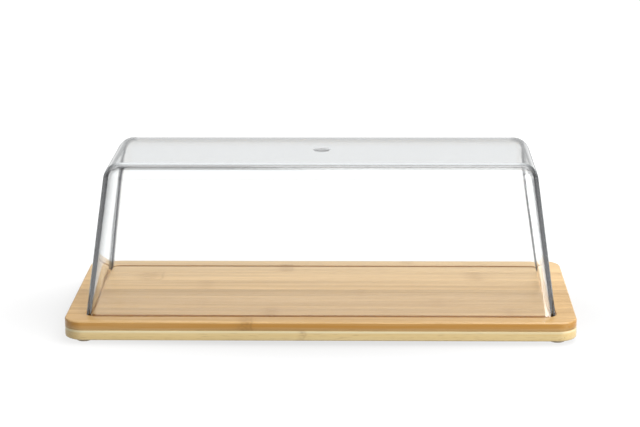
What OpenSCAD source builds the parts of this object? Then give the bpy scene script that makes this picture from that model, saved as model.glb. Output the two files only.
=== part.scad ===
// Rectangular cheese dome: a clear moulded cover that stands in a groove in a laminated bamboo board.
// Millimetres. +X runs along the length of the board, -Y is its front and +Z is up.
// The origin lies on the table, under the middle of the board.

/* [Board] */
// Length of the board, left to right
board_w = 400; // [340:5:460]
// Depth of the board, front to back
board_d = 180; // [160:5:220]
// Radius of the board's four corners, seen from above
board_corner_r = 16; // [8:1:24]
// Width of the easing round the top and the bottom of the board
board_ease = 0.8; // [0.4:0.1:2]
// Thickness of the upper ply
upper_ply_t = 6.8; // [6.5:0.1:9]
// Thickness of the lower ply
lower_ply_t = 8.2; // [5:0.1:10]

/* [Strips] */
// Width of a full bamboo strip
strip_w = 25.8; // [20:0.2:30]
// Width of the upper ply's front strip, which was trimmed with the panel
upper_front_strip_w = 14; // [10:0.5:20]
// Width of the lower ply's front strip
lower_front_strip_w = 25.8; // [10:0.2:30]

/* [Groove] */
// Distance from the board's edge to the groove
groove_margin = 15; // [12:0.5:20]
// Width of the groove
groove_w = 5.5; // [5:0.1:8]
// Depth of the groove
groove_depth = 3; // [2:0.1:4]

/* [Cover] */
// Height of the cover, from its rim to its top
cover_h = 120; // [90:1:150]
// Lean of the cover's walls, in degrees from upright
cover_draft = 7.6; // [4:0.1:10]
// Thickness of the cover's walls and top
cover_wall = 3.2; // [2:0.1:3.5]
// Play between the cover's rim and the groove's outer wall
cover_play = 0.4; // [0.3:0.1:0.6]
// Radius of the cover's upright corners, at the rim
cover_rim_corner_r = 10; // [8:1:16]
// Outer radius of the roll between the cover's walls and its top
cover_top_r = 14; // [8:1:18]
// Diameter of the round gate mark in the middle of the top
gate_mark_d = 15; // [8:1:25]
// Depth of the gate mark
gate_mark_depth = 0.4; // [0.2:0.1:1]

/* [Feet] */
// Diameter of a foot
foot_d = 12.7; // [10:0.1:18]
// Height of a foot
foot_h = 3.5; // [2:0.1:6]
// Radius of the roll round a foot's lower edge
foot_edge_r = 1.2; // [0.5:0.1:1.5]
// Distance from the board's left or right edge to the middle of a foot
foot_inset_x = 15; // [12:0.5:30]
// Distance from the board's front or back edge to the middle of a foot
foot_inset_y = 14; // [12:0.5:30]

/* [Hidden] */
arc_fn = 96;
edge_fn = 32;
hull_fn = 32;
// Thickness of the disc that gives the cover's rim its outline
eps = 0.01;
// How far a cutter reaches past the face that it cuts
over = 1;
board_bottom = foot_h;
ply_joint = board_bottom + lower_ply_t;
board_top = ply_joint + upper_ply_t;
groove_floor = board_top - groove_depth;

upper_strips = 1 + ceil((board_d - upper_front_strip_w) / strip_w);
lower_strips = 1 + ceil((board_d - lower_front_strip_w) / strip_w);

groove_l = board_w - 2 * groove_margin;
groove_d = board_d - 2 * groove_margin;
groove_corner_r = cover_rim_corner_r + cover_play;
cover_w = groove_l - 2 * cover_play;
cover_d = groove_d - 2 * cover_play;

// Each foot's name, and the side of the board that it stands on
FEET = [
    ["foot_front_left", -1, -1],
    ["foot_front_right", 1, -1],
    ["foot_back_left", -1, 1],
    ["foot_back_right", 1, 1]
];

// A flat rectangle with round corners, centred on the origin
module round_rect(w, d, r) {
    square([w - 2 * r, d], center = true);
    square([w, d - 2 * r], center = true);
    for (x = [-1, 1], y = [-1, 1])
        translate([x * (w / 2 - r), y * (d / 2 - r)])
            circle(r = r, $fn = arc_fn);
}

// The corner that the easing takes off the board's section, where the edge lies at reach and the face at 0
module edge_profile(reach) {
    polygon([
        [reach - board_ease - over, over],
        [reach + over, over],
        [reach + over, -board_ease - over]
    ]);
}

// What the easing takes off all round the upper face of a board whose face is at height 0
module edge_cut() {
    straight_w = board_w - 2 * board_corner_r;
    straight_d = board_d - 2 * board_corner_r;
    for (side = [0, 180]) {
        rotate([0, 0, side])
            rotate([90, 0, 0])
                linear_extrude(straight_d, center = true)
                    edge_profile(board_w / 2);
        rotate([0, 0, side + 90])
            rotate([90, 0, 0])
                linear_extrude(straight_w, center = true)
                    edge_profile(board_d / 2);
    }
    for (x = [-1, 1], y = [-1, 1])
        translate([x * straight_w / 2, y * straight_d / 2, 0])
            rotate([0, 0, y > 0 ? (x > 0 ? 0 : 90) : (x < 0 ? 180 : 270)])
                rotate_extrude(angle = 90, $fn = arc_fn)
                    edge_profile(board_corner_r);
}

// The slice of the board's outline that strip number i of a ply fills, counted from the front
module strip_blank(i, front_w, z, t) {
    y0 = -board_d / 2 + (i == 1 ? -over : front_w + (i - 2) * strip_w);
    y1 = min(-board_d / 2 + front_w + (i - 1) * strip_w, board_d / 2 + over);
    translate([0, 0, z])
        linear_extrude(t)
            intersection() {
                round_rect(board_w, board_d, board_corner_r);
                translate([-board_w / 2 - over, y0])
                    square([board_w + 2 * over, y1 - y0]);
            }
}

// The ring that the router takes out of the board's top
module groove_cut() {
    translate([0, 0, groove_floor])
        linear_extrude(groove_depth + over)
            difference() {
                round_rect(groove_l, groove_d, groove_corner_r);
                round_rect(groove_l - 2 * groove_w, groove_d - 2 * groove_w, groove_corner_r - groove_w);
            }
}

// One strip of the upper ply, with its share of the groove
module upper_strip(i) {
    color("burlywood")
        difference() {
            strip_blank(i, upper_front_strip_w, ply_joint, upper_ply_t);
            groove_cut();
            translate([0, 0, board_top])
                edge_cut();
        }
}

// One strip of the lower ply
module lower_strip(i) {
    color("wheat")
        difference() {
            strip_blank(i, lower_front_strip_w, board_bottom, lower_ply_t);
            translate([0, 0, board_bottom])
                mirror([0, 0, 1])
                    edge_cut();
        }
}

// A ball whose top and bottom points lie exactly on its poles
module ball(r) {
    rotate_extrude($fn = hull_fn)
        intersection() {
            circle(r = r, $fn = hull_fn);
            translate([0, -r])
                square([r, 2 * r]);
        }
}

// A closed block with the cover's outer shape, taken in by t on every side
module cover_block(t) {
    drop = t > 0 ? over : 0;
    rim_x = cover_w / 2 - t / cos(cover_draft) + drop * tan(cover_draft);
    rim_y = cover_d / 2 - t / cos(cover_draft) + drop * tan(cover_draft);
    ball_z = cover_h - cover_top_r;
    ball_in = ball_z * tan(cover_draft) + cover_top_r / cos(cover_draft);
    hull() {
        for (x = [-1, 1], y = [-1, 1]) {
            translate([
                x * (rim_x - cover_rim_corner_r + t),
                y * (rim_y - cover_rim_corner_r + t),
                -drop
            ])
                cylinder(h = eps, r = cover_rim_corner_r - t, $fn = hull_fn);
            translate([x * (cover_w / 2 - ball_in), y * (cover_d / 2 - ball_in), ball_z])
                ball(cover_top_r - t);
        }
    }
}

// The clear cover, standing on the floor of the groove
module cover() {
    color("aliceblue", 0.4)
        translate([0, 0, groove_floor])
            difference() {
                cover_block(0);
                cover_block(cover_wall);
                translate([0, 0, cover_h - gate_mark_depth])
                    cylinder(h = over, d = gate_mark_d, $fn = arc_fn);
            }
}

// A round bumper foot under one corner of the board
module foot(side_x, side_y) {
    color("tan")
        translate([
            side_x * (board_w / 2 - foot_inset_x),
            side_y * (board_d / 2 - foot_inset_y),
            0
        ])
            rotate_extrude($fn = arc_fn) {
                square([foot_d / 2 - foot_edge_r, foot_h]);
                translate([0, foot_edge_r])
                    square([foot_d / 2, foot_h - foot_edge_r]);
                translate([foot_d / 2 - foot_edge_r, foot_edge_r])
                    circle(r = foot_edge_r, $fn = edge_fn);
            }
}

cover();
for (i = [1 : upper_strips])
    upper_strip(i);
for (i = [1 : lower_strips])
    lower_strip(i);
for (f = FEET)
    foot(f[1], f[2]);
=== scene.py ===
# %% [markdown]
# # A cheese dome: a clear cover on a bamboo board
#
# The object is a serving board glued up from bamboo strips, with a groove routed round it, and a moulded
# clear cover that stands in the groove. The packed model already holds every piece at its true size.
# This notebook loads it, measures it, and gives each piece its final surface and finish.

# %% Load the packed model
import math

import bmesh
import bpy
import numpy as np
from mathutils import Matrix, Vector


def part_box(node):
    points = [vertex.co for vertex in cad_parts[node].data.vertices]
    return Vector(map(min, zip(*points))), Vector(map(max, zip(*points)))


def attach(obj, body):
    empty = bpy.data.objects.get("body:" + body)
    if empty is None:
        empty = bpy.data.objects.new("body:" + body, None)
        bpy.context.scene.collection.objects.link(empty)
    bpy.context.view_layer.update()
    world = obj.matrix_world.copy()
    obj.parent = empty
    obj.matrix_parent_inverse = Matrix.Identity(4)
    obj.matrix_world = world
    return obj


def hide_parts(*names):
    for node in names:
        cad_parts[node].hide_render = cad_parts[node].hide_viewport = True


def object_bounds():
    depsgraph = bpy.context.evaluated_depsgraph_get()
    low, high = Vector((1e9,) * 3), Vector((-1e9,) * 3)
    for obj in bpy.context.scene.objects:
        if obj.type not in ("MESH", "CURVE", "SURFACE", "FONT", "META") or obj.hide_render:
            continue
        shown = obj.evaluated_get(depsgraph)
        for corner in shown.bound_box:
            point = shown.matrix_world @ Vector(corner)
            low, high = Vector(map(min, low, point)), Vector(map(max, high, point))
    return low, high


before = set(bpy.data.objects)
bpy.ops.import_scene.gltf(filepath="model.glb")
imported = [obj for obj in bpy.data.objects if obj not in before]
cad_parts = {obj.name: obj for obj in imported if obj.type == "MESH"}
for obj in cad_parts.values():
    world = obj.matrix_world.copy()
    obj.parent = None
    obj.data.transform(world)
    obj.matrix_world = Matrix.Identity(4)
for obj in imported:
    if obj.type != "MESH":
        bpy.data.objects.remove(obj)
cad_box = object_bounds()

print("box:", [[round(v, 4) for v in corner] for corner in cad_box])

# %% [markdown]
# ## The camera
#
# The camera looks slightly down on the long side of the board from a little over a metre and a half,
# through a long lens, so that the sides of the cover hardly converge. Its direction is three turns one
# after another: a small turn to the side, the tilt down, and a hair of roll. Writing them as one matrix
# keeps the order plain to see.

# %% Place the camera
CAMERA_PLACE = (0.0414, -1.5865, 0.4875)
YAW, PITCH, ROLL = (math.radians(a) for a in (1.551, 14.308, 0.301))
LENS = 113.9
SENSOR = 36.0


def placed(name, data):
    """A new object in the scene that shows data."""
    made = bpy.data.objects.new(name, data)
    bpy.context.scene.collection.objects.link(made)
    return made


turn = (
    Matrix.Rotation(YAW, 4, "Z")
    @ Matrix.Rotation(-PITCH, 4, "X")
    @ Matrix.Rotation(ROLL, 4, "Y")
    @ Matrix.Rotation(math.pi / 2, 4, "X")
)
camera_data = bpy.data.cameras.new("camera")
camera_data.lens = LENS
camera_data.sensor_width = SENSOR
camera_data.sensor_fit = "HORIZONTAL"
camera = placed("camera", camera_data)
camera.matrix_world = Matrix.Translation(CAMERA_PLACE) @ turn
bpy.context.scene.camera = camera
print("camera", LENS, "mm, looking", [round(-v, 3) for v in turn.col[2][:3]])

# %% [markdown]
# ## Small tools for materials
#
# A material is a little network of nodes. Building one by hand in code gets long, so these helpers add a
# node, set its sockets and wire it in one line. `bell` is used over and over below: it is a smooth hump
# that is 1 at a chosen place and fades to 0 on both sides, which is how a knuckle in the bamboo looks.

# %% Helpers for nodes


class Nodes:
    """A thin wrapper round a node tree: each method adds nodes and returns the socket to use."""

    def __init__(self, tree):
        self.tree = tree
        tree.nodes.clear()

    def add(self, kind, inputs=(), **settings):
        """A new node, with its settings made and each input set to a value or wired to a socket."""
        made = self.tree.nodes.new(kind)
        for key, value in settings.items():
            setattr(made, key, value)
        for key, value in dict(inputs).items():
            if isinstance(value, bpy.types.NodeSocket):
                self.tree.links.new(value, made.inputs[key])
            else:
                made.inputs[key].default_value = value
        return made

    def math(self, how, a, b=0.0):
        return self.add("ShaderNodeMath", {0: a, 1: b}, operation=how).outputs[0]

    def times(self, a, b):
        return self.math("MULTIPLY", a, b)

    def flip(self, value):
        """1 minus value."""
        return self.math("SUBTRACT", 1.0, value)

    def axes(self, vector):
        """The vector's three numbers, as the sockets X, Y and Z."""
        return self.add("ShaderNodeSeparateXYZ", {0: vector}).outputs

    def scaled(self, vector, scale):
        """vector times scale, axis by axis."""
        return self.add("ShaderNodeMapping", {"Vector": vector, "Scale": scale}).outputs[0]

    def noise(self, vector, detail=2.0, rough=0.5):
        inputs = {"Vector": vector, "Scale": 1.0, "Detail": detail, "Roughness": rough}
        return self.add("ShaderNodeTexNoise", inputs).outputs["Fac"]

    def ramp(self, value, low, high, to_low=0.0, to_high=1.0):
        """value stretched so that low becomes to_low and high becomes to_high, and held there."""
        inputs = {"Value": value, "From Min": low, "From Max": high, "To Min": to_low, "To Max": to_high}
        return self.add("ShaderNodeMapRange", inputs).outputs[0]

    def mix(self, share, a, b):
        """Colour a turned into colour b by share."""
        return self.add("ShaderNodeMix", {0: share, 6: a, 7: b}, data_type="RGBA").outputs[2]

    def bell(self, value, middle, width):
        """A hump round middle: e to the power of minus ((value - middle) / width) squared."""
        offset = self.math("DIVIDE", self.math("SUBTRACT", value, middle), width)
        return self.math("EXPONENT", self.times(self.times(offset, offset), -1.0))

    def mark(self, name):
        """The number that the mesh keeps under name at each of its points."""
        return self.add("ShaderNodeAttribute", attribute_name=name).outputs["Fac"]

    def brightening(self):
        """1 for rays that have met something matt and now only say how bright it is, 0 for the others."""
        met = self.add("ShaderNodeLightPath").outputs["Diffuse Depth"]
        return self.math("GREATER_THAN", met, 0.5)

    def blend(self, share, a, b):
        """Shader a turned into shader b by share."""
        return self.add("ShaderNodeMixShader", {0: share, 1: a.outputs[0], 2: b.outputs[0]})

    def surface(self, shader):
        """Wires shader to the material's output."""
        self.add("ShaderNodeOutputMaterial", {"Surface": shader.outputs[0]})


def new_material(name):
    """A named material with an empty network."""
    material = bpy.data.materials.new(name)
    material.use_nodes = True
    return material, Nodes(material.node_tree)


print("node helpers:", [name for name in vars(Nodes) if not name.startswith("_")])

# %% [markdown]
# ## Small tools for meshes
#
# A surface here is a grid of points, rows one way and columns the other, worked out for the whole grid at
# once. Neighbouring points are joined into four-sided faces. Where a row shrinks to a single spot, such as
# the middle of the cover's top, its points are merged, so that the pole is closed. The sign of the volume
# tells whether the faces point outwards, and if they don't, they are all turned round.

# %% Helpers for meshes
SAME_PLACE = 1e-6
NO_LENGTH = 1e-7
CM3 = 1e-6


def smooth(mesh):
    mesh.polygons.foreach_set("use_smooth", np.full(len(mesh.polygons), True))


def open_edges(shape):
    return sum(1 for edge in shape.edges if not edge.is_manifold)


def finish_mesh(name, points, faces, **marks):
    """A new object from an array of points and a list of faces, with doubles merged and the right way out.

    Each of marks is an array with one number per point, kept on the mesh for the material to read.
    """
    mesh = bpy.data.meshes.new(name)
    mesh.from_pydata(points.tolist(), [], faces.tolist())
    for mark, values in marks.items():
        mesh.attributes.new(mark, "FLOAT", "POINT").data.foreach_set("value", values)
    shape = bmesh.new()
    shape.from_mesh(mesh)
    bmesh.ops.remove_doubles(shape, verts=shape.verts, dist=SAME_PLACE)
    bmesh.ops.dissolve_degenerate(shape, edges=shape.edges, dist=NO_LENGTH)
    if shape.calc_volume(signed=True) < 0:
        bmesh.ops.reverse_faces(shape, faces=shape.faces)
    volume = round(shape.calc_volume() / CM3, 2)
    print(name, len(shape.faces), "faces,", open_edges(shape), "open edges,", volume, "cm3")
    shape.to_mesh(mesh)
    shape.free()
    smooth(mesh)
    return placed(name, mesh)


def grid_faces(rows, columns):
    """Four-sided faces for a grid of points that closes on itself along its columns."""
    row = np.arange(rows - 1)[:, None] * columns
    here = np.arange(columns)[None, :]
    there = (here + 1) % columns
    corners = (row + here, row + there, row + columns + there, row + columns + here)
    return np.stack(corners, axis=-1).reshape(-1, 4)


print("a closed grid of 3 rows and 4 columns has", len(grid_faces(3, 4)), "faces")

# %% [markdown]
# ## The clear cover
#
# The cover is one moulding: four walls that lean in a little so that it leaves the mould, a flat top, and
# a generous roll between them. A clear wall bends light at both of its faces, so it needs a true outside
# and a true inside, not a single skin. Every point of such a shape is a point of a smaller rectangle
# pushed out in some direction, so one formula gives the whole skin, and a smaller radius gives the inside.

# %% Sizes of the cover
MM = 0.001
cover_low, cover_high = (np.array(c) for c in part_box("cover"))
HEIGHT = cover_high[2] - cover_low[2]
WALL = 3.2 * MM
TOP_ROLL = 14 * MM
RIM_ROUND = 10 * MM
RIM_EASE = 0.8 * MM
DRAFT = math.radians(7.6)
print("cover", (cover_high - cover_low).round(4), "height", round(HEIGHT, 4))

# %% The outline that every ring of the cover follows
ARC_STEPS = 24
SIDE_STOPS = np.array([0.985, 0.6, 0.2, -0.2, -0.6, -0.985])


def outline():
    """Once round a rectangle with round corners, as four arrays: across, along, angle and corner.

    A point of a ring with half-sides p and q and radius r lies at
    (across * p + r * cos(angle), along * q + r * sin(angle)). Along a straight side the angle stays the
    same and the place runs from one corner to the next; in a corner the place stays and the angle runs.
    corner is 1 in the corners and 0 along the sides.
    """
    signs = np.array([(1, 1), (-1, 1), (-1, -1), (1, -1)], float)
    across, along, angle, corner = [], [], [], []
    for k, (sx, sy) in enumerate(signs):
        bend = np.linspace(k, k + 1, ARC_STEPS + 1) * math.pi / 2
        across.append(np.full(bend.size, sx))
        along.append(np.full(bend.size, sy))
        angle.append(bend)
        turned = k % 2
        across.append(np.full(SIDE_STOPS.size, sx) if turned else sx * SIDE_STOPS)
        along.append(sy * SIDE_STOPS if turned else np.full(SIDE_STOPS.size, sy))
        angle.append(np.full(SIDE_STOPS.size, bend[-1]))
        corner.append(np.repeat([1.0, 0.0], [bend.size, SIDE_STOPS.size]))
    return (np.concatenate(part) for part in (across, along, angle, corner))


ACROSS, ALONG, ANGLE, CORNER = outline()
print("points in a ring:", ANGLE.size)

# %% One skin of the cover, outside or inside
WALL_STOPS = (0.02, 0.25, 0.5, 0.75, 0.98, 1.0)
ROLL_STEPS = 16


def skin(thick, wall_stops=WALL_STOPS, roll_steps=ROLL_STEPS):
    """The walls and the roll of the cover, taken in by thick, as an array of rings from rim to top.

    The wall is a straight line from the rim's rounded rectangle to the point where it touches the roll.
    The roll is a ball at each upper corner, swept along the top's edges: at latitude t its ring has the
    radius r * cos(t) and lies r * sin(t) above the ball's middle, which lies h above the rim. The wall
    meets it at the latitude t0 where both have the same slope. There s * cos(t0) = h * sin(t0) + r, if
    the rim's outline lies s outside the ball's middle.
    """
    ball = TOP_ROLL - thick
    ball_height = HEIGHT - TOP_ROLL
    reach = ball_height * math.tan(DRAFT) + TOP_ROLL / math.cos(DRAFT)
    half = (cover_high - cover_low)[:2] / 2
    ball_p, ball_q = half - reach
    rim_r = RIM_ROUND - thick
    rim_p, rim_q = half - thick / math.cos(DRAFT) - rim_r
    cosine, sine = np.cos(ANGLE), np.sin(ANGLE)
    side = (rim_p - ball_p) * abs(cosine) + (rim_q - ball_q) * abs(sine) + rim_r
    touch = np.arccos(ball / np.hypot(side, ball_height)) - np.arctan2(ball_height, side)

    def ring(p, q, r, z):
        return np.stack([ACROSS * p + r * cosine, ALONG * q + r * sine, z + 0 * ANGLE], axis=-1)

    def ball_ring(t):
        return ring(ball_p, ball_q, ball * np.cos(t), ball_height + ball * np.sin(t))

    foot = ring(rim_p, rim_q, rim_r, 0.0)
    knee = ball_ring(touch)
    wall = [foot + (knee - foot) * s for s in wall_stops]
    tilts = [touch + (math.pi / 2 - touch) * s for s in np.linspace(0, 1, roll_steps + 1)[1:]]
    return np.array(wall + [ball_ring(t) for t in tilts])


print("skins:", skin(0.0).shape, skin(WALL).shape)

# %% The flat top, with the gate mark in its middle
TOP_STOPS = (0.02, 0.3, 0.65)
GATE_R = 7.9 * MM
GATE_DEEP = 0.2 * MM
GATE_DULL = 0.8
# The gate mark's rings, as shares of its radius, and how deep each lies, as a share of its depth
GATE_STOPS = np.array([1.12, 1.0, 0.95, 0.88, GATE_DULL, 0.77, 0.74, 0.71, 0.68, 0.3, 0.0])
GATE_DIP = np.array([0.0, 0.0, 0.12, 0.5, 0.95, 1.0, 0.6, 0.15, 0.0, 0.0, 0.0])


def flat(edge, radii, heights):
    """Rings that lead from the edge of the flat top to circles round its middle.

    The circle's point for each place of the outline lies in the direction (across + cos, along + sin),
    which turns steadily all the way round, so that the rings never fold.
    """
    way = np.arctan2(ALONG + np.sin(ANGLE), ACROSS + np.cos(ANGLE))
    circles = [
        np.stack([r * np.cos(way), r * np.sin(way), h + 0 * way], axis=-1)
        for r, h in zip(radii, heights)
    ]
    steps = [edge + (circles[0] - edge) * s for s in TOP_STOPS]
    return np.array(steps + circles)


print("gate mark", round(2 * GATE_R / MM, 1), "mm across and", round(GATE_DEEP / MM, 1), "mm deep")

# %% [markdown]
# ### The marks on its mesh
#
# The material will need to know what part of the cover it is on, so the mesh carries four marks. `bend` is
# 1 in the upright corners and fades out over the roll, `outside` is 1 on the outer skin, `shoulder` is 1
# on the outer roll, and `gate` is 1 in the dull middle of the gate mark. Each is worked out ring by ring.

# %% Build the cover and ride it on its own body
RIM_RINGS = 6
BEND_AT_TOP = 0.15


def cover_marks(below, skin_rings, top, total):
    """The four marks, from how many rings there are: under the top, in each skin, on the top and in all."""
    fade = np.linspace(1, BEND_AT_TOP, ROLL_STEPS)
    walls = np.ones(len(WALL_STOPS))
    rim = np.ones(2 * RIM_RINGS)
    bend = np.concatenate([np.zeros(below), fade[::-1], walls, rim, walls, fade, np.zeros(top)])
    number = np.arange(total)
    rings = {
        "outside": number >= below + skin_rings + RIM_RINGS,
        "shoulder": (number >= total - top - ROLL_STEPS) & (number < total - top),
        "gate": number >= total - (GATE_STOPS <= GATE_DULL).sum(),
    }
    marks = {name: on.astype(float).repeat(ANGLE.size) for name, on in rings.items()}
    return {"bend": (bend[:, None] * CORNER).ravel(), **marks}


def clear_cover():
    """A closed shell: inside top, inside wall, rounded rim, outside wall, outside top with its gate mark.

    The rim's two edges are eased by quarter turns: at angle t the surface has come in by
    RIM_EASE * (1 - cos(t)) and lies RIM_EASE * (1 - sin(t)) above the rim's lowest plane.
    """
    outer, inner = skin(0.0), skin(WALL)
    low_out, low_in = (skin(thick, (0.0,), 1)[0] for thick in (0.0, WALL))
    inward = low_in - low_out
    inward /= np.linalg.norm(inward, axis=1, keepdims=True)
    up = np.array([0.0, 0.0, 1.0])
    turn = np.linspace(0, math.pi / 2, RIM_RINGS)[:, None, None]
    outer_rim = low_out + RIM_EASE * ((1 - np.cos(turn)) * inward + (1 - np.sin(turn)) * up)
    inner_rim = low_in + RIM_EASE * (-(1 - np.cos(turn)) * inward + (1 - np.sin(turn)) * up)
    top = flat(outer[-1], GATE_R * GATE_STOPS, HEIGHT - GATE_DEEP * GATE_DIP)
    below = flat(inner[-1], (2 * GATE_R, GATE_R, 0.0), 3 * [HEIGHT - WALL])
    rings = np.concatenate([below[::-1], inner[::-1], inner_rim, outer_rim[::-1], outer, top])
    middle = (*(cover_low + cover_high)[:2] / 2, cover_low[2])
    marks = cover_marks(len(below), len(inner), len(top), len(rings))
    faces = grid_faces(len(rings), ANGLE.size)
    return finish_mesh("clear_cover", rings.reshape(-1, 3) + middle, faces, **marks)


cover = clear_cover()
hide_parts("cover")
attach(cover, "cover")

# %% [markdown]
# ## Clear plastic
#
# The cover is a clear, hard plastic, polished by its mould. It bends light with an index of 1.49. Light
# that has to find its way through two bent surfaces is slow to compute and gives grainy spots, so rays
# from the lamps are let straight through a nearly clear pane, and only what is looked at through the
# plastic is bent. Rays that only brighten the board go through the same pane. So does light that has
# bounced about in the plastic for long, because following it further shows nothing new.
#
# Where the wall bends, light that got into the plastic can't leave through the inner face and is thrown
# back inside. It runs on inside the wall and little of it comes out, and what does get through is bent far
# to the side, which is why the upright corners of a clear cover look dark grey. Here that grey is painted
# shade in the plastic's colour, which stands in for the dark surroundings that the corners bend and mirror.
# The Fresnel node says where light is thrown back: met from inside, it reads 1 there, and there the
# corners are painted dark grey. The Layer Weight node says how far the surface leans away from the eye.
# With it the colour paints the corners darker where they are met askew, paints a paler grey band on the
# roll round the top, and paints a dark line where the roll turns out of sight. The flat walls stay clear.
# The middle of the gate mark is painted a duller grey.

# %% The plastic's material
PLASTIC_IOR = 1.49
CLEAR = (0.985, 0.99, 0.992, 1)
PANE = (0.91, 0.91, 0.91, 1)
# Painted shades in the plastic's colour: dark grey corners, a grey band and a dark line on the roll, a grey
# gate mark
TRAPPED_PAINTED_SHADE = (0.44, 0.445, 0.45, 1)
ASKEW_PAINTED_SHADE = (0.38, 0.38, 0.385, 1)
ASKEW_WITHIN_PAINTED_SHADE = (0.16, 0.16, 0.165, 1)
SHOULDER_PAINTED_BAND = (0.62, 0.62, 0.62, 1)
SILHOUETTE_PAINTED_LINE = (0.05, 0.05, 0.05, 1)
GATE_PAINTED_GREY = (0.66, 0.66, 0.66, 1)
THROWN_BACK = 0.98
LONGEST_WAY = 7.5
# How far the surface leans away, from 0 to 1, where each painted shade starts and where it is full, or gone
LEAN_OUTSIDE = (0.07, 0.33)
LEAN_WITHIN = (0.30, 0.50)
BAND_STARTS = (0.16, 0.20)
BAND_ENDS = (0.46, 0.51)
OUT_OF_SIGHT = (0.93, 0.97)


def plastic_colour_with_painted_shade(n):
    """The colour that each part of the cover gives to the light through it, with painted shade on its bends.
    """
    within = n.add("ShaderNodeNewGeometry").outputs["Backfacing"]
    lean = n.add("ShaderNodeLayerWeight").outputs["Facing"]
    mirrored = n.add("ShaderNodeFresnel", {"IOR": PLASTIC_IOR}).outputs[0]
    trapped_painted_share = n.times(within, n.math("GREATER_THAN", mirrored, THROWN_BACK))
    outer, corner = n.mark("outside"), n.mark("bend")
    starts, full = (n.ramp(outer, 0.0, 1.0, *ends) for ends in zip(LEAN_WITHIN, LEAN_OUTSIDE))
    askew = n.times(n.ramp(lean, starts, full), n.flip(within))
    # Painted dark grey in the corners where light is thrown back inside, and darker where they are met askew
    colour = n.mix(n.times(corner, trapped_painted_share), CLEAR, TRAPPED_PAINTED_SHADE)
    colour = n.mix(n.times(corner, askew), colour, n.mix(outer, ASKEW_WITHIN_PAINTED_SHADE, ASKEW_PAINTED_SHADE))
    roll = n.times(n.mark("shoulder"), n.flip(within))
    # A painted paler grey band on the roll, and a painted dark line where it turns out of sight
    band = n.times(n.ramp(lean, *BAND_STARTS), n.ramp(lean, *BAND_ENDS, 1.0, 0.0))
    colour = n.mix(n.times(roll, band), colour, SHOULDER_PAINTED_BAND)
    colour = n.mix(n.times(roll, n.ramp(lean, *OUT_OF_SIGHT)), colour, SILHOUETTE_PAINTED_LINE)
    # A painted duller grey in the middle of the gate mark
    return n.mix(n.mark("gate"), colour, GATE_PAINTED_GREY)


def clear_plastic():
    """Glass for what is seen through it, and a nearly clear pane for rays on their way from a lamp."""
    material, n = new_material("clear_moulded_plastic")
    glass = n.add("ShaderNodeBsdfGlass", {"Color": plastic_colour_with_painted_shade(n), "Roughness": 0.0, "IOR": PLASTIC_IOR})
    pane = n.add("ShaderNodeBsdfTransparent", {"Color": PANE})
    rays = n.add("ShaderNodeLightPath").outputs
    long_way = n.math("GREATER_THAN", rays["Ray Depth"], LONGEST_WAY)
    seen = n.blend(n.math("MAXIMUM", long_way, n.brightening()), glass, pane)
    n.surface(n.blend(rays["Is Shadow Ray"], seen, pane))
    return material


cover.data.materials.append(clear_plastic())
print("cover finished in", cover.data.materials[0].name)

# %% [markdown]
# ## The bamboo strips
#
# The board is two plies of bamboo strips, glued edge to edge and face to face, then cut to shape, routed
# and sanded. The packed strips already have the right cuts, so each visible strip starts as a copy of its
# packed mesh. The copy is merged, its flat faces are joined up again, and a small bevel softens the
# edges that sandpaper reached. The glue joints get only a hair of it, because they were sanded flush.

# %% Make an eased copy of each strip
EASE = 0.35 * MM
JOINT_SHARE = 0.12
SHARP = math.radians(28)
FLAT = math.radians(0.5)
BEVEL_STEPS = 3
board_back = cad_box[1][1]


def strip_numbers(ply):
    return range(1, 1 + sum(name.startswith(ply + "_strip_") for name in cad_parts))


def on_joint(edge, joints):
    """Whether an edge runs along one of the glue joints, each given by its place along Y."""
    return any(all(abs(v.co.y - y) < SAME_PLACE for v in edge.verts) for y in joints)


def eased_strip(node, name):
    """A copy of a packed strip with its edges softened. Edges on a glue joint get JOINT_SHARE of EASE."""
    mesh = bpy.data.objects[node].data.copy()
    mesh.name = name
    joints = [c[1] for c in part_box(node) if abs(c[1]) < board_back - 0.1 * MM]
    shape = bmesh.new()
    shape.from_mesh(mesh)
    bmesh.ops.remove_doubles(shape, verts=shape.verts, dist=SAME_PLACE)
    bmesh.ops.dissolve_limit(shape, angle_limit=FLAT, verts=shape.verts, edges=shape.edges)
    weight = shape.edges.layers.float.new("bevel_weight_edge")
    for edge in shape.edges:
        if edge.is_manifold and edge.calc_face_angle() > SHARP:
            edge[weight] = JOINT_SHARE if on_joint(edge, joints) else 1.0
    print(name, len(shape.faces), "faces, open edges:", open_edges(shape))
    shape.to_mesh(mesh)
    shape.free()
    smooth(mesh)
    made = placed(name, mesh)
    bevel = made.modifiers.new("sanded edges", "BEVEL")
    bevel.limit_method = "WEIGHT"
    bevel.width = EASE
    bevel.segments = BEVEL_STEPS
    bevel.harden_normals = True
    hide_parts(node)
    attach(made, "board")
    return made


upper = {i: eased_strip(f"upper_strip_{i}", f"dark_strip_{i}") for i in strip_numbers("upper")}
lower = {i: eased_strip(f"lower_strip_{i}", f"pale_strip_{i}") for i in strip_numbers("lower")}

# %% [markdown]
# ## Bamboo
#
# Bamboo is a grass, so it has no rings. A strip shows straight fibres along its length, fine dark dashes
# where the plant's vessels are cut, slow changes of tone, and every so often a knuckle: a band across the
# strip where the stalk had a joint. Steaming turns it a warm brown, which is the upper ply; the lower ply
# is left pale. All of it is worked out from the place in space, stretched along the grain. Each strip
# starts its patterns at another place, so that no two strips look the same.

# %% The patterns of the grain
SEED_STEP = (0.731, 0.173, 0.057)
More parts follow.
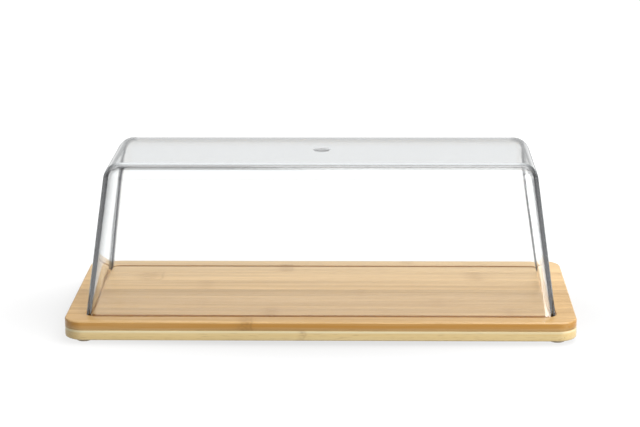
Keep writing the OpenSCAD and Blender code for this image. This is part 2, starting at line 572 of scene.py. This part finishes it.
# Each pattern's waves in a metre along X, Y and Z, its detail and its roughness
GRAIN = {
    "bands": ((2.2, 95.0, 95.0), 3.0, 0.5),
    "threads": ((7.0, 420.0, 420.0), 2.0, 0.5),
    "fibres": ((16.0, 1500.0, 1500.0), 3.0, 0.6),
    "dashes": ((75.0, 2300.0, 2300.0), 1.0, 0.5),
    "sway": ((30.0, 260.0, 260.0), 1.0, 0.5),
    "speckle": ((260.0, 900.0, 900.0), 2.0, 0.6),
}


def grain_patterns(n, place, seed):
    """A strip's own set of patterns: noises at place plus seed times SEED_STEP, drawn out along X."""
    shift = tuple(seed * step for step in SEED_STEP)
    own = n.add("ShaderNodeVectorMath", {0: place, 1: shift}).outputs[0]
    return {name: n.noise(n.scaled(own, waves), *rest) for name, (waves, *rest) in GRAIN.items()}


print("patterns in the grain:", ", ".join(GRAIN))

# %% The knuckles
SWAY = 1.2 * MM
LINE_WIDTH = 1.4 * MM
ZONE_STRENGTH = 0.6
LINE_STRENGTH = 0.4


def knuckle_marks(n, x, grain, knuckles):
    """How much of a strip's knuckles shows at each place: the strongest of them all.

    Each knuckle is (middle, width, strength, line), in millimetres but for its strength: a soft speckled
    zone round middle, with a sharper line at an offset of line from it. Both sway a little with the
    fibres.
    """
    along = n.math("ADD", x, n.ramp(grain["sway"], 0.3, 0.7, -SWAY, SWAY))
    speckle = n.ramp(grain["speckle"], 0.35, 0.65, 0.25, 1.0)
    worn = 0.0
    for middle, width, strength, line in knuckles:
        zone = n.times(n.times(n.bell(along, middle * MM, width * MM), speckle), ZONE_STRENGTH * strength)
        edge = n.times(n.bell(along, (middle + line) * MM, LINE_WIDTH), LINE_STRENGTH * strength)
        worn = n.math("MAXIMUM", worn, n.math("MAXIMUM", zone, edge))
    return worn


print("a knuckle's line is", round(LINE_WIDTH / MM, 1), "mm wide")

# %% [markdown]
# ### Painted shade in the groove
#
# The walls of the groove are painted a deeper brown, a painted shade for the shadow down in the narrow
# groove. The material finds those walls by their place and by the way they face: they lie within the
# groove's outline, and their faces are upright. The groove's floor is painted partly back to the light
# tone, painted light, because little light reaches down there.

# %% The groove
GROOVE_REACH = 0.9 * MM
GROOVE_FLOOR_BELOW = 2 * MM
# Painted shade on the groove's walls, and painted light on its floor
GROOVE_WALL_PAINTED_SHADE = (0.42, 0.195, 0.055, 1)
GROOVE_WALL_SHADE_SHARE = 0.85
GROOVE_FLOOR_PAINTED_LIGHT = 0.6
board_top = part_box("upper_strip_1")[1][2]
groove_x, groove_y = cover_high[:2] + GROOVE_REACH


def true_normal(n):
    """The way that the face itself points, as the sockets X, Y and Z."""
    return n.axes(n.add("ShaderNodeNewGeometry").outputs["True Normal"])


def groove_painted_shade(n, spot, colour, light):
    """colour, with the groove's floor painted partly light and its walls painted a shaded brown."""
    inside_x = n.math("LESS_THAN", n.math("ABSOLUTE", spot["X"]), groove_x)
    inside_y = n.math("LESS_THAN", n.math("ABSOLUTE", spot["Y"]), groove_y)
    within = n.times(inside_x, inside_y)
    facing = true_normal(n)
    upright = n.times(n.ramp(facing["Z"], 0.3, 0.8, GROOVE_WALL_SHADE_SHARE, 0.0), n.math("ABSOLUTE", facing["Y"]))
    sunk = n.times(within, n.math("LESS_THAN", spot["Z"], board_top - GROOVE_FLOOR_BELOW))
    # Painted light on the groove's floor, then painted shade on its walls
    colour = n.mix(n.times(sunk, GROOVE_FLOOR_PAINTED_LIGHT), colour, light)
    return n.mix(n.times(within, upright), colour, GROOVE_WALL_PAINTED_SHADE)


print("groove within", round(groove_x, 4), "and", round(groove_y, 4), "m of the middle")

# %% One strip's bamboo
WOOD_IOR = 1.5
WOOD_ROUGH = (0.28, 0.42)
BUMP_STRENGTH = 0.25
BUMP_DEPTH = 0.12 * MM


def bamboo(name, light, dark, seed, knuckles, knuckle_colour, edge_tint_and_highlight, edge_colour_and_highlight, routed=False):
    """One strip's bamboo.

    light and dark are the two ends of its tone, and seed picks its own patterns. edge_tint_and_highlight
    works out how much of edge_colour_and_highlight shows on the board's cut edge at a given height; on the
    lower ply that is a painted highlight.
    """
    material, n = new_material(name)
    place = n.add("ShaderNodeTexCoord").outputs["Object"]
    spot = n.axes(place)
    grain = grain_patterns(n, place, seed)
    bands = n.ramp(grain["bands"], 0.32, 0.68, 0.0, 0.6)
    colour = n.mix(n.math("ADD", bands, n.ramp(grain["threads"], 0.35, 0.65, 0.0, 0.4)), light, dark)
    colour = n.mix(n.ramp(grain["fibres"], 0.35, 0.7, 0.0, 0.34), colour, dark)
    colour = n.mix(n.ramp(grain["dashes"], 0.62, 0.74, 0.0, 0.55), colour, knuckle_colour)
    uneven = n.ramp(grain["threads"], 0.35, 0.65, 0.7, 1.15)
    colour = n.mix(n.times(edge_tint_and_highlight(n, spot["Z"]), uneven), colour, edge_colour_and_highlight)
    colour = n.mix(knuckle_marks(n, spot["X"], grain, knuckles), colour, knuckle_colour)
    # The routed strips get the groove's painted shade and painted light
    if routed:
        colour = groove_painted_shade(n, spot, colour, light)
    height = n.math("ADD", n.times(grain["fibres"], 0.6), n.times(grain["dashes"], 0.4))
    bump = n.add("ShaderNodeBump", {"Height": height, "Strength": BUMP_STRENGTH, "Distance": BUMP_DEPTH})
    rough = n.ramp(grain["fibres"], 0.3, 0.75, *WOOD_ROUGH)
    inputs = {"Base Color": colour, "Roughness": rough, "Normal": bump.outputs[0], "IOR": WOOD_IOR}
    n.surface(n.add("ShaderNodeBsdfPrincipled", inputs))
    return material


def wear(made, look):
    """Gives a piece one material in place of what came with its mesh."""
    made.data.materials.clear()
    made.data.materials.append(look)


print("bamboo's roughness:", WOOD_ROUGH)

# %% [markdown]
# ### The two plies
#
# The board's cut edge is coloured by height: the upper ply's edge is a deep brown from a little above its
# foot up to the top, with a paler line at its foot, and the lower ply's edge is painted palest just under
# the joint, a painted highlight. Each strip comes from another stalk, so each has its own tone and its own
# knuckles. The strips towards the back are painted paler, a painted reflection of the veil that the cover
# lays over the back of the board, and `UPPER_PAINTED_VEIL` says by how much.

# %% Tone and knuckles of each strip of the upper ply
CARAMEL_LIGHT = (0.76, 0.50, 0.225)
CARAMEL_DARK = (0.46, 0.265, 0.085)
CARAMEL_KNUCKLE = (0.36, 0.18, 0.04, 1)
CARAMEL_EDGE = (0.60, 0.28, 0.04, 1)
# Each strip's own tone; the higher tones of strips 6 to 8 also paint part of the cover's veil over the back
UPPER_TONES = {1: 1.02, 2: 0.98, 3: 0.96, 4: 0.94, 5: 1.07, 6: 1.14, 7: 1.20, 8: 1.14}
PALEST = (0.94, 0.78, 0.52)
# Painted reflection: how far each back strip is turned towards PALEST, for the veil the cover lays over it
UPPER_PAINTED_VEIL = {4: 0.05, 5: 0.08, 6: 0.16, 7: 0.25, 8: 0.25}
UPPER_KNUCKLES = {
    1: [(-58, 6, 1.3, 5)],
    2: [(-40, 6, 1.2, 3), (148, 7, 0.6, 3)],
    3: [(-95, 4, 0.4, 2), (92, 7, 0.5, -3)],
    4: [(30, 5, 0.4, 3), (-178, 7, 0.6, 3)],
    5: [(-96, 6, 0.5, 4), (178, 6, 0.6, -3)],
    6: [(-146, 9, 0.8, 11), (126, 8, 0.8, 3)],
    7: [(-33, 6, 0.9, 5)],
    8: [(70, 6, 0.6, 3)],
}
ply_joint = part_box("upper_strip_1")[0][2]


def shade(colour, share, paler=0.0):
    """A colour times share, then turned into PALEST by paler, which paints the cover's veil of reflection.
    """
    return tuple((1 - paler) * share * c + paler * p for c, p in zip(colour, PALEST)) + (1.0,)


def on_the_edge(n):
    """1 on upright faces, 0 on level ones."""
    return n.ramp(n.math("ABSOLUTE", true_normal(n)["Z"]), 0.2, 0.5, 1.0, 0.0)


def dark_edge(n, height):
    """The upper ply's edge: nearly plain at its foot, and dark from a little above it up to the top."""
    return n.times(on_the_edge(n), n.ramp(height, ply_joint + 1.0 * MM, ply_joint + 2.4 * MM, 0.15, 0.8))


for i, made in upper.items():
    tone, paler = UPPER_TONES.get(i, 1.0), UPPER_PAINTED_VEIL.get(i, 0.0)
    light, dark = (shade(colour, tone, paler) for colour in (CARAMEL_LIGHT, CARAMEL_DARK))
    knuckles = UPPER_KNUCKLES.get(i, ())
    name = f"steamed_bamboo_{i}"
    wear(made, bamboo(name, light, dark, i, knuckles, CARAMEL_KNUCKLE, dark_edge, CARAMEL_EDGE, routed=True))
print("dark strips:", len(upper), "with", sum(map(len, UPPER_KNUCKLES.values())), "knuckles")

# %% Tone and knuckles of each strip of the lower ply
PALE_LIGHT = (0.93, 0.73, 0.375)
PALE_DARK = (0.85, 0.605, 0.255)
PALE_KNUCKLE = (0.42, 0.24, 0.10, 1)
# A painted highlight on the lower ply's cut edge, just under the joint
PALE_EDGE_PAINTED_HIGHLIGHT = (0.95, 0.83, 0.53, 1)
LOWER_SEED = 20
LOWER_KNUCKLES = {1: [(-14, 3, 0.7, 2)], 3: [(60, 7, 0.7, 3)], 5: [(-90, 7, 0.7, -3)], 7: [(40, 6, 0.7, 3)]}


def pale_edge_painted_highlight(n, height):
    """A painted highlight: the lower ply's edge is palest just under the upper ply."""
    return n.times(on_the_edge(n), n.bell(height, ply_joint - 1.0 * MM, 0.9 * MM))


for i, made in lower.items():
    tone = 1.0 + 0.02 * math.cos(2.4 * i)
    light, dark = (shade(colour, tone) for colour in (PALE_LIGHT, PALE_DARK))
    knuckles = LOWER_KNUCKLES.get(i, ())
    name = f"pale_bamboo_{i}"
    wear(made, bamboo(name, light, dark, LOWER_SEED + i, knuckles, PALE_KNUCKLE, pale_edge_painted_highlight, PALE_EDGE_PAINTED_HIGHLIGHT))
print("pale strips:", len(lower), "with", sum(map(len, LOWER_KNUCKLES.values())), "knuckles")

# %% [markdown]
# ## The feet
#
# Four stick-on bumper feet keep the board off the table. Such a foot is a soft button with a rounded lower
# edge and sides that narrow a little towards the board. It is round, so a profile carried once round the
# foot's middle gives it.

# %% Make the feet
FOOT_EDGE = 1.2 * MM
FOOT_TURNS = 64
FOOT_EDGE_STEPS = 9
# The profile's points on the flat bottom, as shares of the bottom's radius
FOOT_BOTTOM = np.array([0.0, 0.5, 0.97])
# The profile's points above the rounded edge, as shares of the foot's radius and of its height
FOOT_SIDE = np.array([(1.0, 0.6), (0.985, 0.92), (0.96, 1.0), (0.0, 1.0)])


def bumper_foot(node):
    """A surface of revolution: each point of the profile (radius, height) turned round the foot's middle."""
    low, high = (np.array(c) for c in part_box(node))
    radius = (high[0] - low[0]) / 2
    tall = high[2] - low[2]
    bottom = radius - FOOT_EDGE
    bend = np.linspace(0, math.pi / 2, FOOT_EDGE_STEPS)
    side_r, side_z = FOOT_SIDE.T
    radii = np.concatenate([bottom * FOOT_BOTTOM, bottom + FOOT_EDGE * np.sin(bend), radius * side_r])
    heights = np.concatenate([0 * FOOT_BOTTOM, FOOT_EDGE * (1 - np.cos(bend)), tall * side_z])
    around = np.linspace(0, 2 * math.pi, FOOT_TURNS, endpoint=False)[None, :]
    middle = (low + high) / 2
    x = middle[0] + radii[:, None] * np.cos(around)
    y = middle[1] + radii[:, None] * np.sin(around)
    z = low[2] + heights[:, None] + 0 * around
    points = np.stack([x, y, z], axis=-1).reshape(-1, 3)
    made = finish_mesh("bumper_" + node, points, grid_faces(len(radii), FOOT_TURNS))
    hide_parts(node)
    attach(made, "board")
    return made


feet = [bumper_foot(name) for name in sorted(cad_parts) if name.startswith("foot_")]

# %% [markdown]
# ### Rubber
#
# The feet are a tan rubber that lets a little light in, so they get some subsurface scattering. A cloudy
# change of tone and a very fine bump keep them from looking like paint.

# %% The rubber's material
RUBBER_LIGHT = (0.52, 0.41, 0.28, 1)
RUBBER_DARK = (0.43, 0.34, 0.23, 1)
RUBBER_CLOUDS = (220.0, 220.0, 220.0)
RUBBER_GRAIN = (2600.0, 2600.0, 2600.0)


def elastomer():
    """Soft tan rubber that lets a little light in."""
    material, n = new_material("tan_elastomer")
    place = n.add("ShaderNodeTexCoord").outputs["Object"]
    cloud = n.noise(n.scaled(place, RUBBER_CLOUDS), 2.0)
    grain = n.noise(n.scaled(place, RUBBER_GRAIN), 1.0)
    bump = n.add("ShaderNodeBump", {"Height": grain, "Strength": 0.15, "Distance": 0.05 * MM})
    inputs = {
        "Base Color": n.mix(n.ramp(cloud, 0.3, 0.7), RUBBER_LIGHT, RUBBER_DARK),
        "Roughness": n.ramp(grain, 0.3, 0.7, 0.35, 0.45),
        "Normal": bump.outputs[0],
        "Subsurface Weight": 0.35,
        "Subsurface Radius": (0.004, 0.003, 0.002),
        "Subsurface Scale": 1.0,
    }
    n.surface(n.add("ShaderNodeBsdfPrincipled", inputs))
    return material


rubber = elastomer()
for made in feet:
    made.data.materials.append(rubber)
print("feet:", len(feet), "in", rubber.name)

# %% [markdown]
# ## The floor
#
# The object stands on a plain white floor. A lit white sheet would either drown the object's own soft
# shadow or come out grey, so the floor glows by itself: white far out, and a little less round the board,
# a painted shadow where the board keeps light off it. Mirrored in the cover it is greyer far out, and it
# throws only little light on the wood, which would otherwise lose its colour.

# %% Make the floor
FLOOR_HALF = 8.0
PAPER = (0.15, 0.15, 0.15, 1)
# The floor's glow, as (distance, distance, glow there, glow there); distances along X count half
# GLOW_SEEN dims a little near the board and PAINTED_SHADOW_UNDER_BOARD dips it further: a painted shadow
# round the board
GLOW_SEEN = (0.16, 0.5, 0.92, 1.0)
PAINTED_SHADOW_UNDER_BOARD = (0.092, 0.16, -0.20, 0.0)
GLOW_MIRRORED = (0.85, 1.15, 0.95, 0.70)
GLOW_ON_WOOD = (0.12, 0.12, 0.12, 1)
SQUASH = (0.5, 1.0, 1.0)


def floor_material():
    """Matt paper that glows by how far a place is from the board's middle and by who looks, with a painted
    shadow.
    """
    material, n = new_material("white_floor")
    paper = n.add("ShaderNodeBsdfDiffuse", {"Color": PAPER})
    place = n.add("ShaderNodeTexCoord").outputs["Object"]
    squashed = n.scaled(place, SQUASH)
    away = n.add("ShaderNodeVectorMath", {0: squashed}, operation="LENGTH").outputs["Value"]
    looked_at = n.add("ShaderNodeLightPath").outputs["Is Camera Ray"]
    seen = n.math("ADD", n.ramp(away, *GLOW_SEEN), n.ramp(away, *PAINTED_SHADOW_UNDER_BOARD))
    strength = n.mix(looked_at, n.ramp(away, *GLOW_MIRRORED), seen)
    strength = n.mix(n.brightening(), strength, GLOW_ON_WOOD)
    glow = n.add("ShaderNodeEmission", {"Color": strength, "Strength": 1.0})
    n.surface(n.add("ShaderNodeAddShader", {0: paper.outputs[0], 1: glow.outputs[0]}))
    return material


def floor():
    """One big square at height 0."""
    side = np.array([-FLOOR_HALF, FLOOR_HALF])
    x, y = np.meshgrid(side, side)
    points = np.stack([x, y, 0 * x], axis=-1).reshape(-1, 3)
    mesh = bpy.data.meshes.new("floor")
    mesh.from_pydata(points.tolist(), [], [(0, 1, 3, 2)])
    mesh.materials.append(floor_material())
    placed("floor", mesh)


floor()
print("floor", 2 * FLOOR_HALF, "m wide")

# %% [markdown]
# ## The lamps
#
# A big soft lamp overhead and a bigger one in front, off to the right, light the object. The third lamp is
# for the cover alone: clear plastic shows as what it mirrors, and a narrow upright lamp mirrored in a bent
# corner draws a bright stripe down it. It must not brighten the wood, so it is linked to the cover, and it
# goes dark for light that has already bounced a few times.

# %% Place the lamps
LAST_BOUNCE = 3.5


def soft_lamp(name, place, aim, wide, high, watts):
    """A rectangular lamp at place that shines towards aim."""
    data = bpy.data.lights.new(name, "AREA")
    data.shape = "RECTANGLE"
    data.size, data.size_y = wide, high
    data.energy = watts
    made = placed(name, data)
    way = Vector(aim) - Vector(place)
    made.matrix_world = Matrix.Translation(place) @ way.to_track_quat("-Z", "Y").to_matrix().to_4x4()
    print(name, "lamp:", wide, "by", high, "m,", watts, "W")
    return made


def only_mirrored(lamp, piece):
    """Shows the lamp to one piece only, as a reflection, and only in its first few bounces."""
    lamp.visible_diffuse = False
    shown_to = bpy.data.collections.new("mirrors_the_side_lamp")
    shown_to.objects.link(piece)
    lamp.light_linking.receiver_collection = shown_to
    lamp.data.use_nodes = True
    n = Nodes(lamp.data.node_tree)
    bounces = n.add("ShaderNodeLightPath").outputs["Ray Depth"]
    glow = n.add("ShaderNodeEmission", {"Strength": n.math("LESS_THAN", bounces, LAST_BOUNCE)})
    n.add("ShaderNodeOutputLight", {0: glow.outputs[0]})


soft_lamp("overhead", (0.55, 0.1, 1.6), (0.0, 0.0, 0.0), wide=1.6, high=1.3, watts=27.5)
soft_lamp("front", (1.9, -1.5, 1.1), (0.0, 0.0, 0.03), wide=2.6, high=1.8, watts=50.0)
side_lamp = soft_lamp("side", (0.53, -0.353, 0.305), (0.18, -0.07, 0.305), wide=0.42, high=0.6, watts=8.0)
only_mirrored(side_lamp, cover)

# %% [markdown]
# ## The sky
#
# All round stands a sky in greys, like the walls and the ceiling of a studio. Clear plastic has no colour
# of its own, so the darker parts of what it mirrors and bends are what draw its edges. The sky is grey low
# down, brightest well up, and greyer again straight overhead. Low down it is bright in front, behind the
# camera, and dim at the two sides.

# %% Make the sky
# The sky's grey, as (sine of the height above the horizon, grey there)
SKY_GREYS = ((0.0, 0.52), (0.25, 0.56), (0.42, 0.9), (0.7, 1.1), (1.0, 0.6))
FRONT_GREY = (1.2, 1.2, 1.2, 1)
SIDE_SHARE = 0.4
ON_WOOD_SHARE = 0.4


def sky():
    """Greys by height, with a bright front and dim sides low down, and less of it all on the wood."""
    world = bpy.data.worlds.new("studio")
    bpy.context.scene.world = world
    world.use_nodes = True
    n = Nodes(world.node_tree)
    axes = n.axes(n.add("ShaderNodeTexCoord").outputs["Generated"])
    greys = n.add("ShaderNodeValToRGB", {0: axes["Z"]})
    stops = greys.color_ramp.elements
    for height, _ in SKY_GREYS[1:-1]:
        stops.new(height)
    for stop, (_, grey) in zip(stops, SKY_GREYS):
        stop.color = (grey, grey, grey, 1)
    in_front = n.times(n.ramp(axes["Y"], -0.75, -0.95), n.ramp(axes["Z"], 0.1, 0.25, 1.0, 0.0))
    colour = n.mix(in_front, greys.outputs[0], FRONT_GREY)
    sides = n.ramp(n.math("ABSOLUTE", axes["X"]), 0.45, 0.85, 1.0, SIDE_SHARE)
    low_down = n.ramp(axes["Z"], 0.35, 0.7, 1.0, 0.0)
    share = n.math("ADD", n.times(sides, low_down), n.flip(low_down))
    share = n.times(share, n.ramp(n.brightening(), 0.0, 1.0, 1.0, ON_WOOD_SHARE))
    back = n.add("ShaderNodeBackground", {"Color": colour, "Strength": share})
    n.add("ShaderNodeOutputWorld", {"Surface": back.outputs[0]})


sky()
print("sky greys:", SKY_GREYS)

# %% [markdown]
# ## How far light is followed
#
# In the cover's bent corners light bounces many times before it comes out. Bounces inside clear plastic
# count as mirrored ones, and a low limit on them shows as black lines, so both limits are high.

# %% Set the limits
BOUNCES = 16
MOST_BOUNCES = 20

scene = bpy.context.scene
scene.view_settings.view_transform = "Standard"
scene.cycles.transmission_bounces = BOUNCES
scene.cycles.glossy_bounces = BOUNCES
scene.cycles.transparent_max_bounces = BOUNCES
scene.cycles.max_bounces = MOST_BOUNCES
print("bounces:", BOUNCES, "of a kind and", MOST_BOUNCES, "in all")

# %% [markdown]
# ## The end
#
